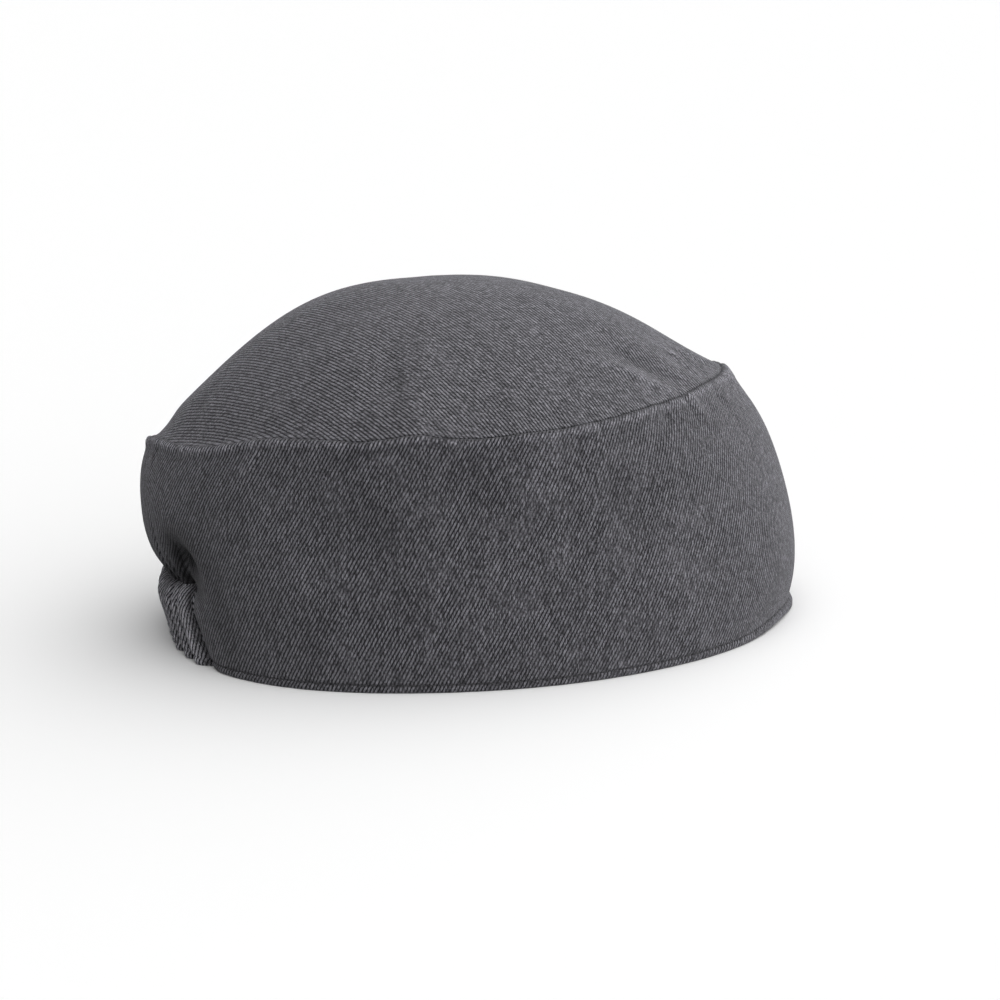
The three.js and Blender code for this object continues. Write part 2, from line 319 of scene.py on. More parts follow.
class CapShape(bpy.types.PropertyGroup):
    """The cap's sizes."""

    rim_front: length("Rim Front", 0.1008, "Rim, from the middle of the opening to the front")
    rim_back: length("Rim Back", 0.0925, "Rim, from the middle of the opening to the back")
    rim_side: length("Rim Side", 0.082, "Rim, from the middle of the opening to the side")
    rim_fullness: share("Rim Fullness", 0.045, "How much fuller than an oval the rim's back is")
    seam_front: length("Seam Front", 0.0822, "Crown seam, from the middle to the front")
    seam_back: length("Seam Back", 0.095, "Crown seam, from the middle to the back")
    seam_side: length("Seam Side", 0.069, "Crown seam, from the middle to the side")
    seam_hollow_front: share("Seam Hollow Front", 0.025, "How much flatter than an oval, in front")
    seam_hollow_back: share("Seam Hollow Back", 0.03, "How much flatter than an oval, behind")
    height_front: length("Band Height Front", 0.077, "Height of the crown seam at the front")
    height_side: length("Band Height Side", 0.075, "Height of the crown seam at the side")
    height_back: length("Band Height Back", 0.062, "Height of the crown seam at the back")
    crown_height: length("Crown Height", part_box("crown_top")[1].z, "Height of the dome's top")
    crown_top_back: length("Crown Top Back", 0.005, "How far behind the middle the dome's top is")
    middle_back: length("Middle", 0.00158, "How far the opening's middle is behind the origin")
    back_puff: length("Back Puff", 0.007, "How far the band puffs out behind")
    hem_corner: turn("Hem Corner", 162, "Where the hem curves up, beside the front")
    hem_corner_spread: turn("Hem Corner Spread", 13, "Angle over which it curves up")
    hem_corner_lift: length("Hem Corner Lift", 0.0013, "How far it curves up")
    hem_corner_in: length("Hem Corner Pull", 0.001, "How far it is pulled in there")
    hem_lip: length("Hem Lip", 0.003, "How far the hem's edge turns out in front")
    hem_lip_height: length("Hem Lip Height", 0.005, "Height over which the hem turns out")
    cloth: length("Cloth", 0.0018, "Thickness of the sewn cloth")
    casing_cloth: length("Casing Cloth", 0.0024, "Thickness of the casing with its elastic")
    sewn_lap: length("Sewn Lap", 0.0006, "How far the cloths beside a seam run into each other")
    casing_height: length("Casing Height", 0.022, "Height of the gathered casing")
    casing_sag: length("Casing Sag", 0.004, "How much lower the casing's top is in its middle")
    sag_spread: turn("Sag Spread", 15, "Angle over which the casing's top sags")
    sag_fade: length("Sag Fade", 0.024, "Height above the casing over which the sag ends")
    casing_half: turn("Casing Half Angle", 24, "Half the angle that the casing covers")
    casing_flare: turn("Casing Flare", 8, "What each half of the casing widens by at the rim")
    flare_fade: turn("Flare Fade", 38, "Angle over which the band follows that widening")
    pinch_depth: length("Pinch Depth", 0.004, "How far the casing's top is drawn in")
    pinch_rise: length("Pinch Rise", 0.017, "How far up the band the pinch runs")
    pinch_drop: length("Pinch Drop", 0.008, "How far down the casing the pinch runs")
    pinch_fade: turn("Pinch Fade", 15, "Angle over which the pinch ends beside the casing")
    gather_depth: length("Gather Depth", 0.0034, "Depth of a full gather")
    gather_half_width: length("Gather Half Width", 0.0013, "Half width of a gather's valley")
    gather_reach: length("Gather Reach", 0.026, "How far up the band the gathers run")
    end_valley_spread: share("End Valley", 3, "How much wider the valley beside the casing is")
    casing_proud: length("Casing Proud", 0.0005, "How far the casing stands out from the band")
    pleat_depth: length("Pleat Depth", 0.0003, "Depth of the small pleats between the gathers")
    stitch_height: length("Stitch Height", 0.0024, "Height of the hem's stitching above the rim")
    stitch_dent: length("Stitch Dent", 0.0009, "How far the stitching pulls the cloth in")
    stitch_pitch: length("Stitch Pitch", 0.0029, "Distance from one stitch to the next")
    stitch_length: length("Stitch Length", 0.0023, "Length of a stitch")
    thread: length("Thread", 0.00036, "Thickness of the sewing thread")
    hem_turning: length("Hem Turning", 0.009, "Width of the hem turned up inside")
    seam_allowance: length("Seam Allowance", 0.009, "Width of the seam's edges inside")
    turning_step: length("Turning Step", 0.0005, "Thickness of cloth turned in")
    seam_roll: length("Seam Roll", 0.0009, "How far the band's edge stands out at the crown seam")
    crown_sink: length("Crown Sink", 0.001, "How far the top panel lies below the band's edge")
    pucker: length("Pucker", 0.00028, "Height of the small puckers along the seams")
    slack: length("Slack", 0.0004, "Height of the broad, soft unevenness of the cloth")


class CapCloth(bpy.types.PropertyGroup):
    """The twill's weave and colours."""

    warp_pitch: length("Warp Pitch", 0.0003, "Distance between the threads that run up the band")
    weft_pitch: length("Weft Pitch", 0.00054, "Distance between the crossing threads")
    crown_turn: turn("Crown Turn", -21, "Turn of the top panel's weave about the vertical")
    # One charcoal twill in lit and shaded copies: the band's colours a little darker than the top
    # panel's as painted shade on the upright band, and the casing's light threads about twice as
    # light as painted highlight on its ridges in shade, partly also the stretched casing's clearer
    # ribs.
    crown_warp: colour("Crown Warp", (0.24, 0.235, 0.26), "Light threads of the top panel")
    crown_weft: colour("Crown Weft", (0.012, 0.012, 0.014), "Dark threads of the top panel")
    band_warp: colour("Band Warp", (0.225, 0.22, 0.243), "Light threads of the band")
    band_weft: colour("Band Weft", (0.008, 0.008, 0.01), "Dark threads of the band")
    casing_warp: colour("Casing Warp", (0.48, 0.47, 0.51), "Light threads of the casing")
    casing_weft: colour("Casing Weft", (0.006, 0.006, 0.008), "Dark threads of the casing")
    thread_colour: colour("Thread Colour", (0.05, 0.049, 0.055), "Sewing thread")


class CapStage(bpy.types.PropertyGroup):
    """The camera, the floor and the light."""

    distance: length("Distance", 1.4, "Distance of the camera from its aim")
    azimuth: turn("Azimuth", -92.53, "Side from which the camera looks, from the front")
    elevation: turn("Elevation", 15.19, "Height of the camera above the horizon")
    roll: turn("Roll", 1.92, "Lean of the picture")
    aim_y: share("Aim Along", -0.0107, "Where the camera aims, along the cap")
    aim_z: length("Aim Height", 0.0364, "Where the camera aims, above the floor")
    lens: share("Lens", 161.5, "Focal length in millimetres on a sensor 36 mm wide")
    floor_size: length("Floor Size", 12.0, "Length of the floor's side")
    floor_colour: colour("Floor Colour", (1.0, 1.0, 1.0), "The pale floor")
    floor_bounce: share("Floor Bounce", 0.28, "How much light the floor throws back at the cap")
    floor_glow: share("Floor Glow", 0.14, "Soft light from the floor, in the cap's shadow too")
    sky: share("Sky", 0.12, "Brightness of the even light from all round")
    key: share("Key", 3.75, "Strength of the soft light from above and in front")
    key_height: turn("Key Height", 45, "Height of the soft light above the horizon")
    key_side: turn("Key Side", -10, "Side from which the soft light comes, from the front")
    key_softness: turn("Key Softness", 140, "Angle over which the soft light spreads")


def shape():
    """The cap's sizes in this scene."""
    return bpy.context.scene.cap_shape


# The cap's form


def bezier(values, along):
    """The Bezier curve of the control values, at a share from 0 to 1: each round of the work
    mixes every value with its neighbour by that share, until one is left."""
    values = list(values)
    while len(values) > 1:
        values = [a + (b - a) * along for a, b in zip(values, values[1:])]
    return values[0]


def eased(along):
    """From 0 to 1 along a square curve that is quick at first: 1 - (1 - share) squared."""
    return 1 - (1 - np.clip(along, 0, 1)) ** 2


def smooth(along):
    """From 0 to 1 with level ends: three squares less two cubes of the share."""
    along = np.clip(along, 0, 1)
    return along * along * (3 - 2 * along)


def bell(distance):
    """1 at no distance, falling off as the power of e to minus the square."""
    return np.exp(-(distance**2))


def apart(angle, other):
    """The angle from one direction to another, the short way round."""
    return (angle - other + np.pi) % (2 * np.pi) - np.pi


def around(angle, front, side, back, sharpness=2):
    """A figure given for front, side and back: from the side's towards the front's by the square
    of the cosine, and towards the back's by its power of the sharpness."""
    c = np.cos(angle)
    behind = side + (back - side) * np.abs(c) ** sharpness
    return np.where(c > 0, behind, side + (front - side) * c**2)


def band_height(s, angle):
    """Height of the crown seam: the smooth rise from back to front, and a bell for each slow
    rise or dip of the sewn line."""
    height = around(angle, s.height_front, s.height_side, s.height_back, 3)
    for at, half, rise in SEAM_WAVES:
        height = height + rise * MM * bell(apart(angle, np.radians(at)) / np.radians(half))
    return height


def smooth_wall(s, angle, up):
    """The wall without its pinch and gathers: an oval at each share of the band's height, whose
    halves follow the control values from the rim's outline to the seam's."""
    along = np.cos(angle)
    z = up * band_height(s, angle)
    back = s.rim_back + (s.seam_back - s.rim_back) * up + s.back_puff * bezier(WALL_BACK, up)
    lip = around(angle, s.hem_lip, 0, 0) * (1 - eased(z / s.hem_lip_height))
    front = s.rim_front + (s.seam_front - s.rim_front) * bezier(WALL_FRONT, up) + lip
    side = s.rim_side + (s.seam_side - s.rim_side) * bezier(WALL_SIDE, up)
    behind = s.rim_fullness * (1 - up) - s.seam_hollow_back * up
    fullness = np.where(along > 0, behind, -s.seam_hollow_front * up)
    full = 1 + fullness * np.sin(2 * angle) ** 2
    x = full * side * np.sin(angle)
    y = full * along * np.where(along > 0, back, front)
    return np.stack([x, y, z], -1)


def over_casing(s, angle, fade):
    """1 over the casing, falling to 0 within an angle past its ends."""
    return 1 - smooth((np.abs(angle) - s.casing_half) / fade)


def valleys(s, angle, z, ends):
    """The deepest of the rounded valleys between the gathers, as a share of a full one: one over
    one plus the square of the way across. Those at the casing's ends keep the given share."""
    deepest = 0
    for at, depth, reach in GATHERS:
        spread = 1
        if abs(at) == 1:
            spread = np.where(np.abs(angle) > s.casing_half, s.end_valley_spread, 1)
            depth = depth * ends
        half = spread * s.gather_half_width / s.rim_back
        valley = 1 / (1 + ((angle - at * s.casing_half) / half) ** 2)
        up = 1 - eased((z - s.casing_height) / (s.gather_reach * reach))
        deepest = np.maximum(deepest, depth * valley * up)
    return deepest


def pleats(s, angle, z):
    """Small pleats between the gathers: a sine across them whose waves wander, from -1 to 1."""
    wander = WANDER * np.sin(9 * angle + z / (7 * MM))
    near = over_casing(s, angle, s.pinch_fade / 3)
    return np.sin(angle * PLEATS + UNEVENNESS * np.sin(angle * UNEVEN_WAVES) + wander) * near


def drawn_in(s, angle, z, ends):
    """How far the elastic draws the wall inwards: a pinch along the casing's top, the valleys of
    the gathers, and the pleats, which fade away above the casing."""
    above = z - s.casing_height
    away = np.where(above > 0, above / s.pinch_rise, -above / s.pinch_drop)
    pinch = s.pinch_depth * over_casing(s, angle, s.pinch_fade) * (1 - eased(away))
    folds = s.gather_depth * valleys(s, angle, z, ends)
    fading = np.where(above > 0, bell(above / (9 * MM)), 1)
    return pinch + folds + s.pleat_depth * pleats(s, angle, z) * fading


def flared(s, angle, z):
    """The casing is wider at the rim, so angles near it open out evenly towards the rim."""
    low = np.clip(1 - z / s.casing_height, 0, 1)
    beside = np.sign(angle) * over_casing(s, angle, s.flare_fade)
    inside = np.abs(angle) < s.casing_half
    return angle + s.casing_flare * low * np.where(inside, angle / s.casing_half, beside)


def wall(s, angle, z, ends=1):
    """The outer face of band and casing: the smooth wall, drawn towards the cap's axis. Beside
    the front the hem stands a little higher and further in, by a bell round the cap. Behind, the
    line along the casing's top sags, by a bell round the cap."""
    turned = flared(s, angle, z)
    point = smooth_wall(s, turned, z / band_height(s, turned))
    out = np.hypot(point[..., 0], point[..., 1])
    corner = bell((np.abs(angle) - s.hem_corner) / s.hem_corner_spread)
    corner = corner * (1 - smooth(z / s.casing_height))
    inwards = drawn_in(s, angle, z, ends) + s.hem_corner_in * corner
    point[..., :2] *= (1 - inwards / out)[..., None]
    sag = smooth(z / s.casing_height) * (1 - smooth((z - s.casing_height) / s.sag_fade))
    sag = s.casing_sag * bell(angle / s.sag_spread) * sag
    point[..., 2] += s.hem_corner_lift * corner - sag
    return point


def dome(s, angle, out):
    """The outer face of the top panel, at a share of the way from its top to the seam: straight
    spokes seen from above, falling by the control values."""
    seam = wall(s, angle, band_height(s, angle))
    falls = [bezier(values, out) for values in (DOME_FRONT, DOME_SIDE, DOME_BACK)]
    x = seam[..., 0] * out
    y = s.crown_top_back + (seam[..., 1] - s.crown_top_back) * out
    z = s.crown_height + (seam[..., 2] - s.crown_height) * around(angle, *falls)
    return np.stack([x, y, z], -1)


def unit(vectors):
    """The vectors, each divided by its length."""
    return vectors / np.linalg.norm(vectors, axis=-1, keepdims=True)


def casing_wall(s, angle, z):
    """The casing's outer face, which keeps only a part of the valleys at its two ends."""
    return wall(s, angle, z, CASING_END_VALLEY)


def normals(face, s, first, second, step):
    """Outward directions of a face: the cross product of its two directions, which come from
    small steps of its two parameters. Outward is away from the middle of the opening."""
    across = face(s, first + 1e-4, second) - face(s, first - 1e-4, second)
    along = face(s, first, second + step) - face(s, first, second - step)
    normal = unit(np.cross(across, along))
    away = face(s, first, second) - np.array([0, 0, s.height_side / 2])
    return normal * np.where((normal * away).sum(-1) < 0, -1, 1)[..., None]


def wall_normals(s, angle, z):
    """Outward directions of the band's outer face."""
    return normals(wall, s, angle, z, 0.01 * MM)


def dome_normals(s, angle, out):
    """Straight up at the dome's very top, where the two directions close up."""
    normal = normals(dome, s, angle, np.maximum(out, 1e-3), 1e-4)
    return np.where((out < 2e-3)[..., None], np.array([0.0, 0.0, 1.0]), normal)


def seam_inward(s, angle):
    """From the crown seam into the cap, along the line that halves the corner between band and
    dome: the sum of their outward directions, divided by minus one less their dot product."""
    height = band_height(s, angle)
    band = wall_normals(s, angle, height * BEFORE_SEAM)
    top = dome_normals(s, angle, np.full_like(angle, BEFORE_SEAM))
    return (band + top) / (-1 - (band * top).sum(-1))[..., None]


def rolled(distance, radius):
    """How much of a cloth's half thickness is left near its edge: a quarter circle, from a
    sliver at the edge itself to all of it one radius away."""
    near = 1 - np.clip(distance / radius, 0, 1)
    return np.maximum(np.sqrt(1 - near**2), SLIVER)


def turned_in(distance, width):
    """1 where cloth lies turned in beside an edge, falling to 0 in the step at the given width."""
    return 1 - smooth((distance - width) / TURNING_EDGE + 0.5)


# Relief of the cloth: distances along the outward direction


def puckers(angle, gap):
    """Small uneven swells along a seam: the sum of sines of whole counts round the cap, fading
    with the distance from the seam."""
    wave = sum(part * np.sin(count * angle + start) for part, count, start in PUCKER_WAVES)
    return wave * np.exp(-gap / (7 * MM))


def folds(rows, x, y):
    """The sum of the folds: each is a bell across and a bell along its own direction."""
    total = 0
    for at_x, at_y, direction, half_length, half_width, depth in rows:
        t = np.radians(direction)
        dx, dy = x(at_x), y(at_y)
        along = (dx * np.cos(t) + dy * np.sin(t)) / (half_length * MM)
        across = (dy * np.cos(t) - dx * np.sin(t)) / (half_width * MM)
        total = total + depth * MM * bell(along) * bell(across)
    return total


def band_dents(angle, z):
    """The band's folds, with the way round it taken on a circle of a middling radius."""
    return folds(
        [(at, up, 90 - lean, *sizes) for at, up, lean, *sizes in BAND_FOLDS],
        lambda at: apart(angle, np.radians(at)) * BAND_RADIUS,
        lambda at: z - at * MM,
    )


def crown_dents(point):
    """The top panel's folds."""
    x, y = point[..., 0], point[..., 1]
    return folds(CROWN_FOLDS, lambda at: x - at * MM, lambda at: y - at * MM)


def painted_shading(dents):
    """The cloth's painted shade in its dents and painted highlight on its folds, as a share of the
    full painted shade."""
    return np.clip(-DENT_SHADE * dents / MM, -FOLD_LIGHTEST, DENT_DARKEST)


def band_relief(s, angle, z):
    """The band's soft slack, as sines that wander round and up; its folds; its swell beside the
    crown seam, and the puckers there and along the hem."""
    gap = band_height(s, angle) - z
    slack = sum(np.sin(count * angle + up * z + start) / 2 for count, up, start in SLACK_WAVES)
    slack = slack * smooth(z / (20 * MM)) * smooth(gap / (20 * MM))
    dents = band_dents(angle, z)
    clear = 1 - over_casing(s, angle, s.pinch_fade) * bell((z - s.casing_height) / (20 * MM))
    swell = s.seam_roll * bell((gap - SWELL_AT) / SWELL_HALF) * around(angle, *SWELL_AROUND)
    hem = 0.4 * puckers(angle + 0.3, np.abs(z - s.stitch_height) * 1.4)
    return slack * s.slack * clear + dents + swell + s.pucker * (puckers(angle, gap) + hem)


def crown_relief(s, angle, gap, point):
    """The top panel's soft slack, as sines across and along; its folds; its puckers beside the
    seam, where it lies lower than the band's edge, the most so behind."""
    x, y = point[..., 0], point[..., 1]
    slack = np.sin(95 * x + 40 * y + 1) * np.sin(75 * y - 30 * x + 2)
    slack = slack * smooth(gap / (30 * MM))
    dents = crown_dents(point)
    sunk = around(angle, *SINK_AROUND) * bell(gap / SINK_HALF)
    sunk = sunk + around(angle, *HOLLOW_AROUND, 4) * bell((gap - HOLLOW_AT) / HOLLOW_HALF)
    raised = slack * s.slack + dents * smooth(gap / (2 * MM))
    return raised + 0.7 * s.pucker * puckers(angle, gap) - s.crown_sink * sunk


# Grids of points, and meshes from them


def spread(*parts):
    """Columns or rows in stretches of (start, end, count), without each stretch's end."""
    return np.concatenate([np.linspace(a, b, n, endpoint=False) for a, b, n in parts])


def ring_angles(s):
    """Angles round the whole cap: fine over the casing, wider beside it and round the front."""
    end = s.casing_half
    return spread(
        (-np.pi, -FLANK, FRONT_COLUMNS),
        (-FLANK, -end, BESIDE_COLUMNS),
        (-end, end, CASING_COLUMNS),
        (end, FLANK, BESIDE_COLUMNS),
        (FLANK, np.pi, FRONT_COLUMNS),
    )


def low_heights(top):
    """Heights from the rim up to a line, close together where an edge rolls or a stitch pulls."""
    low = np.array(HEM_ROWS + TURNING_ROWS) * MM
    between = spread((11 * MM, top - 3 * MM, 6))
    return np.concatenate([low, between, top - np.array(TOP_ROLL_ROWS) * MM])


def wall_grid(s, face, angle, z, half, sides, relief):
    """A cloth wall on an outer face: points in mid cloth, then half a thickness out and in.
    The sides function gives the inward direction and the two half thicknesses."""
    point = face(s, angle, z)
    out = normals(face, s, angle, z, 0.01 * MM)
    inward, outer_half, inner_half = sides(s, angle, z, out)
    middle = point + inward * (half - relief(s, angle, z))[..., None]
    outer = middle - inward * outer_half[..., None]
    inner = middle + inward * inner_half[..., None]
    for grid in (outer, inner):
        grid[..., 2] = np.maximum(grid[..., 2], 0)
    return outer, inner


def level_map(outer):
    """The cloth's own map in metres: along the columns' lengths at mid height, and up the length
    of each column."""
    level = outer[:, outer.shape[1] // 2]
    steps = np.linalg.norm(np.diff(level, axis=0), axis=-1)
    u = np.concatenate([[0], np.cumsum(steps)])
    rise = np.linalg.norm(np.diff(outer, axis=1), axis=-1)
    v = np.concatenate([np.zeros((len(outer), 1)), np.cumsum(rise, axis=1)], 1)
    return np.stack([np.broadcast_to(u[:, None], v.shape), v], -1)


def ring_map(grid, outer, rolled_rows, turned):
    """The map of a ring in metres. From row to row of a column, the step's part along the level
    direction round the cap adds to u and the rest of it to v. At mid height u is the length
    round. Over the rolled rows v grows by the outer face's own steps. Where the grain is turned,
    u grows by that share of v above mid height. The last column stands again past the first."""
    grid = np.concatenate([grid, grid[:1]])
    before, after = np.roll(grid, 1, 0), np.roll(grid, -1, 0)
    before[0], after[-1] = grid[-2], grid[1]
    level = unit((after - before) * np.array([1, 1, 0]))
    steps = np.diff(grid, axis=1)
    aside = (steps * unit(level[:, 1:] + level[:, :-1])).sum(-1)
    rise = np.sqrt(np.maximum((steps**2).sum(-1) - aside**2, 0))
    face = np.linalg.norm(np.diff(outer, axis=1), axis=-1)
    rise = np.where(rolled_rows[1:], np.concatenate([face, face[:1]]), rise)
    start = np.zeros((len(grid), 1))
    v = np.concatenate([start, np.cumsum(rise, axis=1)], 1)
    aside = np.concatenate([start, np.cumsum(aside, axis=1)], 1)
    middle = grid.shape[1] // 2
    round_length = np.linalg.norm(np.diff(grid[:, middle], axis=0), axis=-1)
    u = np.concatenate([[0], np.cumsum(round_length)])[:, None]
    aside, above = aside - aside[:, middle, None], v - v[:, middle, None]
    return np.stack([u + aside + turned * above, v], -1)


def shell(name, outer, inner, cloth, painted_light, ring, kept=None, pole=False):
    """A closed mesh between an outer and an inner grid of points, made of the kept cells. Every
    side that only one kept cell has is closed by a face across the cloth. With a pole, the first
    row of each grid is one point. The grid of painted shade and highlight becomes the outer
    points' attribute."""
    columns, rows = outer.shape[:2]
    ids = np.arange(columns * rows).reshape(columns, rows)
    if pole:
        ids[:, 0] = ids[0, 0]
    if ring:
        ids = np.concatenate([ids, ids[:1]])
    if kept is None:
        kept = np.ones((ids.shape[0] - 1, rows - 1), bool)
    a, b, c, d = ids[:-1, :-1], ids[1:, :-1], ids[1:, 1:], ids[:-1, 1:]
    corners = np.stack([a, b, c, d], -1)
    maps = np.stack([cloth[:-1, :-1], cloth[1:, :-1], cloth[1:, 1:], cloth[:-1, 1:]], -2)
    edge = np.zeros((1, rows - 1), bool)
    before = np.roll(kept, 1, 0) if ring else np.concatenate([edge, kept[:-1]])
    after = np.roll(kept, -1, 0) if ring else np.concatenate([kept[1:], edge])
    end = np.zeros((len(kept), 1), bool)
    below, above = np.hstack([end, kept[:, :-1]]), np.hstack([kept[:, 1:], end])
    inside = columns * rows
    faces = [corners[kept], corners[kept][:, ::-1] + inside]
    uvs = [maps[kept], maps[kept][:, ::-1]]
    for side, there in enumerate((below, after, above, before)):
        p, q = side, (side + 1) % 4
        bare = kept & ~there
        f, m = corners[bare], maps[bare]
        faces.append(np.stack([f[:, q], f[:, p], f[:, p] + inside, f[:, q] + inside], -1))
        uvs.append(np.stack([m[:, q], m[:, p], m[:, p], m[:, q]], 1))
    points = np.concatenate([outer.reshape(-1, 3), inner.reshape(-1, 3)])
    deep = np.concatenate([painted_light.ravel(), np.zeros(inside)])
    return mesh_object(name, points, np.concatenate(faces), np.concatenate(uvs), deep)


def mesh_object(name, points, faces, uvs, painted_light=None):
    """An object from four-cornered faces. A corner equal to the next is left out, and so is a
    face with fewer than three. The faces are turned round if the solid's volume, the sum of the
    corners' triple products, comes out negative."""
    ahead = faces != np.roll(faces, -1, 1)
    whole = ahead.sum(1) > 2
    faces, uvs, ahead = faces[whole], uvs[whole], ahead[whole]
    f = points[faces]
    twice = np.cross(f[:, 1] - f[:, 0], f[:, 2] - f[:, 0])
    twice = twice + np.cross(f[:, 2] - f[:, 0], f[:, 3] - f[:, 0])
    if (f[:, 0] * twice).sum() < 0:
        faces, uvs, ahead = faces[:, ::-1], uvs[:, ::-1], ahead[:, ::-1]
    used, corners = np.unique(faces[ahead], return_inverse=True)
    mesh = bpy.data.meshes.new(name)
    mesh.vertices.add(len(used))
    mesh.vertices.foreach_set("co", points[used].ravel())
    mesh.loops.add(len(corners))
    mesh.loops.foreach_set("vertex_index", corners.ravel())
    mesh.polygons.add(len(faces))
    mesh.polygons.foreach_set("loop_start", np.cumsum(ahead.sum(1)) - ahead.sum(1))
    mesh.polygons.foreach_set("use_smooth", np.ones(len(faces), bool))
    layer = mesh.uv_layers.new(name="cloth")
    layer.data.foreach_set("uv", uvs[ahead].ravel())
    # The painted shade and highlight go on the points as an attribute.
    if painted_light is not None:
        values = mesh.attributes.new("painted_light", "FLOAT", "POINT").data
        values.foreach_set("value", painted_light[used])
    mesh.update(calc_edges=True)
    if mesh.validate():
        raise RuntimeError(f"{name}: the mesh had faults")
    piece = bpy.data.objects.new(name, mesh)
    bpy.context.scene.collection.objects.link(piece)
    return piece


def set_back(s, *grids):
    """Moves points from the middle of the opening to the cap's own origin, in place."""
    for points in grids:
        points[..., 1] += s.middle_back


def dress(piece, material, slot, *nodes):
    """Gives a piece its material, and settles what it rides on and stands for."""
    piece.data.materials.append(material)
    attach(piece, "root")
    if nodes:
        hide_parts(*nodes)


# The pieces


def stitch_pull(s, z):
    """How much the hem's stitching thins the cloth: a narrow bell at the stitching's height."""
    return s.stitch_dent * bell((z - s.stitch_height) / (0.45 * MM))


def band_grain(s):
    """How far the band's grain is turned at each column, because the strip was cut on a curve:
    one way beside the front and the other way towards the back, the same on both sides."""
    angle = ring_angles(s)
    angle = np.degrees(np.concatenate([angle, angle[:1]]))[:, None]
    turned = sum(part * bell((np.abs(angle) - at) / half) for at, half, part in GRAIN_TURNS)
    return np.sign(angle) * turned


def casing_place(s, lap):
    """The half angle and the height of the casing's place, wider by half the lap at each edge."""
    return s.casing_half + lap / 2 / s.rim_back, s.casing_height + lap / 2


def band_sides(s, angle, z, out):
    """The band's inward direction and half thicknesses: rolled at the rim, at the seam and round
    the casing's place, pulled in by the hem's stitches, thicker inside where cloth is turned in.
    Close to the crown seam the direction turns into the line that halves the corner."""
    gap = band_height(s, angle) - z
    half = s.cloth / 2
    foot = casing_place(s, -s.sewn_lap)[1]
    past = np.abs(angle) > s.casing_half
    beside = (np.abs(angle) - s.casing_half) * s.rim_back + s.sewn_lap / 2
    notch = np.hypot(np.where(past, beside, 0), np.maximum(z - foot, 0))
    left = rolled(np.minimum(np.minimum(gap, notch), np.where(past, z, np.inf)), half)
    turn_in = (1 - smooth(gap / CORNER_REACH))[..., None]
    inward = -out * (1 - turn_in) + seam_inward(s, angle) * turn_in
    inside = turned_in(z, s.hem_turning) + turned_in(gap, s.seam_allowance)
    thickness = half * left - stitch_pull(s, z) / 2
    return inward, thickness, thickness + s.turning_step * inside * left


def band_points(s):
    """The band's outer and inner grids, the plain wall's grid and its rolled rows for the map, the
    cells that are kept round the casing's place, and its painted shade and highlight. Rows keep
    their heights up to the casing's top, and above it they spread between that line and the seam."""
    angle = ring_angles(s)
    end, foot = casing_place(s, -s.sewn_lap)
    for side in (-1, 1):
        angle = np.where(np.isclose(angle, side * s.casing_half, atol=1e-4), side * end, angle)
    low = low_heights(foot)
    fixed = np.concatenate([low, foot + np.array(ABOVE_CASING_ROWS) * MM])
    roll = np.array(SEAM_ROLL_ROWS) * MM
    top = band_height(s, angle)[:, None]
    middle = fixed[-1] + (top - roll[0] - fixed[-1]) * np.linspace(0, 1, 26)[1:-1]
    fixed = np.broadcast_to(fixed, (len(angle), len(fixed)))
    z = np.concatenate([fixed, middle, top - roll], 1)
    angles = np.broadcast_to(angle[:, None], z.shape)
    outer, inner = wall_grid(s, wall, angles, z, s.cloth / 2, band_sides, band_relief)
    following = np.roll(angle, -1)
    aside = (angle >= end) | (following <= -end) | (following < angle)
    kept = aside[:, None] | (np.arange(z.shape[1] - 1) >= len(low) - 1)
    turned = flared(s, angles, z)
    plain = smooth_wall(s, turned, z / band_height(s, turned))
    row = np.arange(z.shape[1])
    rolled_rows = (row < RIM_ROLL_ROWS) | (row >= len(row) - len(roll))
    return outer, inner, plain, rolled_rows, kept, band_painted_light(s, angles, z)


def casing_sides(s, angle, z, out):
    """The casing's inward direction and half thicknesses: rolled at all four edges, pulled in by
    the hem's stitches."""
    end, top = casing_place(s, s.sewn_lap)
    half = s.casing_cloth / 2
    edge = np.minimum(np.minimum(z, top - z), (end - np.abs(angle)) * s.rim_back)
    thickness = half * rolled(edge, half) - stitch_pull(s, z) / 2
    return -out, thickness, thickness


def casing_points(s):
    """The casing's outer and inner grids, close together at its rolled ends, and its painted shade
    and highlight.
    """
    end, top = casing_place(s, s.sewn_lap)
    edge = np.array([0, 0.1, 0.3, 0.6, 1]) * MM / s.rim_back
    inmost = end - 1.5 * edge[-1]
    angle = np.concatenate([
        -end + edge, spread((-inmost, inmost, CASING_COLUMNS)), [inmost], end - edge[::-1],
    ])
    z, angles = np.meshgrid(low_heights(top), angle)
    half = s.casing_cloth / 2
    outer, inner = wall_grid(s, casing_wall, angles, z, half, casing_sides, casing_relief)
    return outer, inner, casing_painted_light(s, angles, z)


def casing_relief(s, angle, z):
    """The casing stands out from the band by its elastic, with puckers along its foot's
    stitching."""
    return s.casing_proud + s.pucker * puckers(angle, np.abs(z - s.stitch_height))


def casing_painted_light(s, angle, z):
    """The casing's painted shade in the valleys and between the pleats, and painted highlight on
    its ridges.
    """
    deep = valleys(s, angle, z, CASING_END_VALLEY)
    shade = deep * VALLEY_SHADE - RIDGE_HIGHLIGHT + PLEAT_SHADE * pleats(s, angle, z)
    return np.clip(shade, -0.3, 1)


